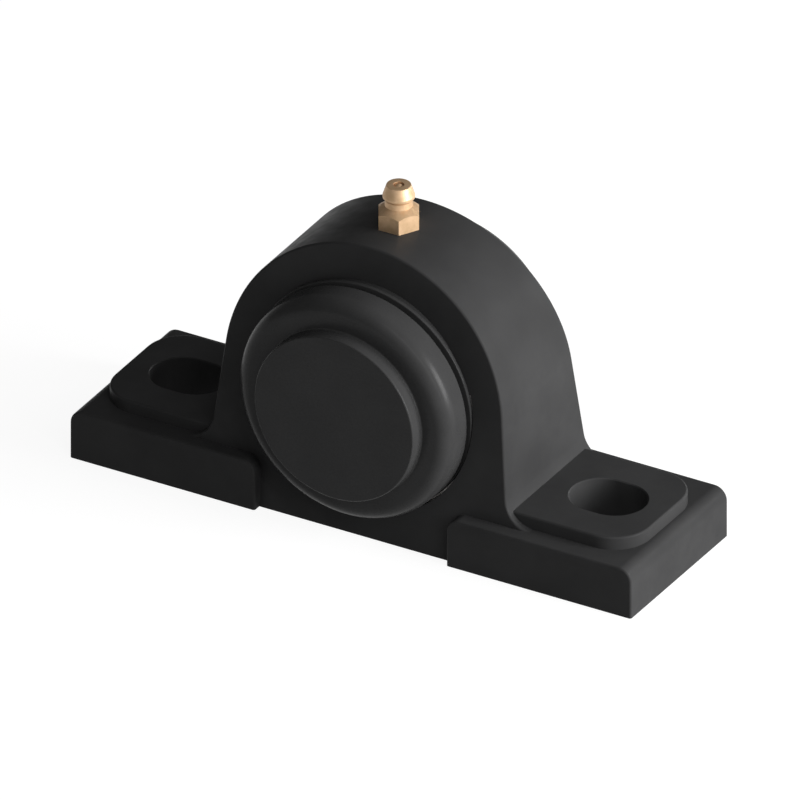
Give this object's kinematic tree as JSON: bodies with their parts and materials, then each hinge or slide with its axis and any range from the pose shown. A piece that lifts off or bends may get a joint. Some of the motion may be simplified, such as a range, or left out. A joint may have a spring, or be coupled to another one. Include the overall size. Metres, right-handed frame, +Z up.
{
  "type": "pillow block bearing",
  "caption": "Two-bolt cast pillow block with a self-aligning ball bearing insert, closed front cover, sealed open rear cover and grease fitting.",
  "frame": {"origin": "middle of the base's underside, on the line between the two bolts and under the shaft axis", "axes": "+X along the base from bolt to bolt, +Y along the shaft axis from the closed cover at the front to the open cover at the back, +Z up"},
  "size_m": [0.127, 0.0498, 0.0706],
  "materials": {
    "cast_paint": "black paint over cast iron, satin",
    "cover_paint": "black painted pressed steel, semi-gloss",
    "fitting_brass": "pale brass, turned",
    "ring_steel": "ground bearing steel",
    "ball_steel": "polished bearing steel",
    "cage_steel": "pressed steel strip",
    "zinc_plate": "zinc plated pressed steel",
    "black_oxide": "black oxide on hardened steel",
    "rubber": "nitrile rubber, matt"
  },
  "bodies": {
    "housing": {"housing": "cast_paint", "closed_cover": "cover_paint", "open_cover": "cover_paint", "open_cover_seal": "rubber", "grease_fitting": "fitting_brass", "grease_check_spring": "ring_steel"},
    "outer_race": {"outer_ring": "ring_steel", "locating_pin": "ring_steel", "front_seal_plate": "zinc_plate", "front_seal_lip": "rubber", "rear_seal_plate": "zinc_plate", "rear_seal_lip": "rubber"},
    "inner_race": {"inner_ring": "ring_steel", "front_slinger": "zinc_plate", "rear_slinger": "zinc_plate", "set_screw_1": "black_oxide", "set_screw_2": "black_oxide"},
    "cage": {"cage_front_half": "cage_steel", "cage_rear_half": "cage_steel", "cage_rivets": "cage_steel"},
    "ball_1": {"ball_1": "ball_steel"},
    "ball_2": {"ball_2": "ball_steel"},
    "ball_3": {"ball_3": "ball_steel"},
    "ball_4": {"ball_4": "ball_steel"},
    "ball_5": {"ball_5": "ball_steel"},
    "ball_6": {"ball_6": "ball_steel"},
    "ball_7": {"ball_7": "ball_steel"},
    "ball_8": {"ball_8": "ball_steel"},
    "check_ball": {"grease_check_ball": "ball_steel"}
  },
  "joints": [
    {"name": "self_align", "type": "hinge", "parent": "housing", "child": "outer_race", "pos_m": [0, 0, 0.0302], "axis": [1, 0, 0], "range_deg": [-2, 2]},
    {"name": "shaft_spin", "type": "hinge", "parent": "outer_race", "child": "inner_race", "pos_m": [0, 0, 0.0302], "axis": [0, 1, 0], "continuous": true},
    {"name": "cage_orbit", "type": "hinge", "parent": "outer_race", "child": "cage", "pos_m": [0, 0, 0.0302], "axis": [0, 1, 0], "continuous": true},
    {"name": "ball_1_spin", "type": "hinge", "parent": "cage", "child": "ball_1", "pos_m": [0, 0, 0.0472], "axis": [0, 1, 0], "continuous": true},
    {"name": "ball_2_spin", "type": "hinge", "parent": "cage", "child": "ball_2", "pos_m": [-0.01202, 0, 0.04222], "axis": [0, 1, 0], "continuous": true},
    {"name": "ball_3_spin", "type": "hinge", "parent": "cage", "child": "ball_3", "pos_m": [-0.017, 0, 0.0302], "axis": [0, 1, 0], "continuous": true},
    {"name": "ball_4_spin", "type": "hinge", "parent": "cage", "child": "ball_4", "pos_m": [-0.01202, 0, 0.01818], "axis": [0, 1, 0], "continuous": true},
    {"name": "ball_5_spin", "type": "hinge", "parent": "cage", "child": "ball_5", "pos_m": [0, 0, 0.0132], "axis": [0, 1, 0], "continuous": true},
    {"name": "ball_6_spin", "type": "hinge", "parent": "cage", "child": "ball_6", "pos_m": [0.01202, 0, 0.01818], "axis": [0, 1, 0], "continuous": true},
    {"name": "ball_7_spin", "type": "hinge", "parent": "cage", "child": "ball_7", "pos_m": [0.017, 0, 0.0302], "axis": [0, 1, 0], "continuous": true},
    {"name": "ball_8_spin", "type": "hinge", "parent": "cage", "child": "ball_8", "pos_m": [0.01202, 0, 0.04222], "axis": [0, 1, 0], "continuous": true},
    {"name": "check_ball_press", "type": "slide", "parent": "housing", "child": "check_ball", "axis": [0, 0, -1], "range_m": [0, 0.0008], "stiffness_N_per_m": 400, "springref_m": -0.001, "deforming": ["grease_check_spring"]}
  ],
  "couplings": [
    {"joint": "cage_orbit", "follows": "shaft_spin", "ratio": 0.38327},
    {"joint": "ball_1_spin", "follows": "shaft_spin", "ratio": -2.0249},
    {"joint": "ball_2_spin", "follows": "shaft_spin", "ratio": -2.0249},
    {"joint": "ball_3_spin", "follows": "shaft_spin", "ratio": -2.0249},
    {"joint": "ball_4_spin", "follows": "shaft_spin", "ratio": -2.0249},
    {"joint": "ball_5_spin", "follows": "shaft_spin", "ratio": -2.0249},
    {"joint": "ball_6_spin", "follows": "shaft_spin", "ratio": -2.0249},
    {"joint": "ball_7_spin", "follows": "shaft_spin", "ratio": -2.0249},
    {"joint": "ball_8_spin", "follows": "shaft_spin", "ratio": -2.0249}
  ]
}
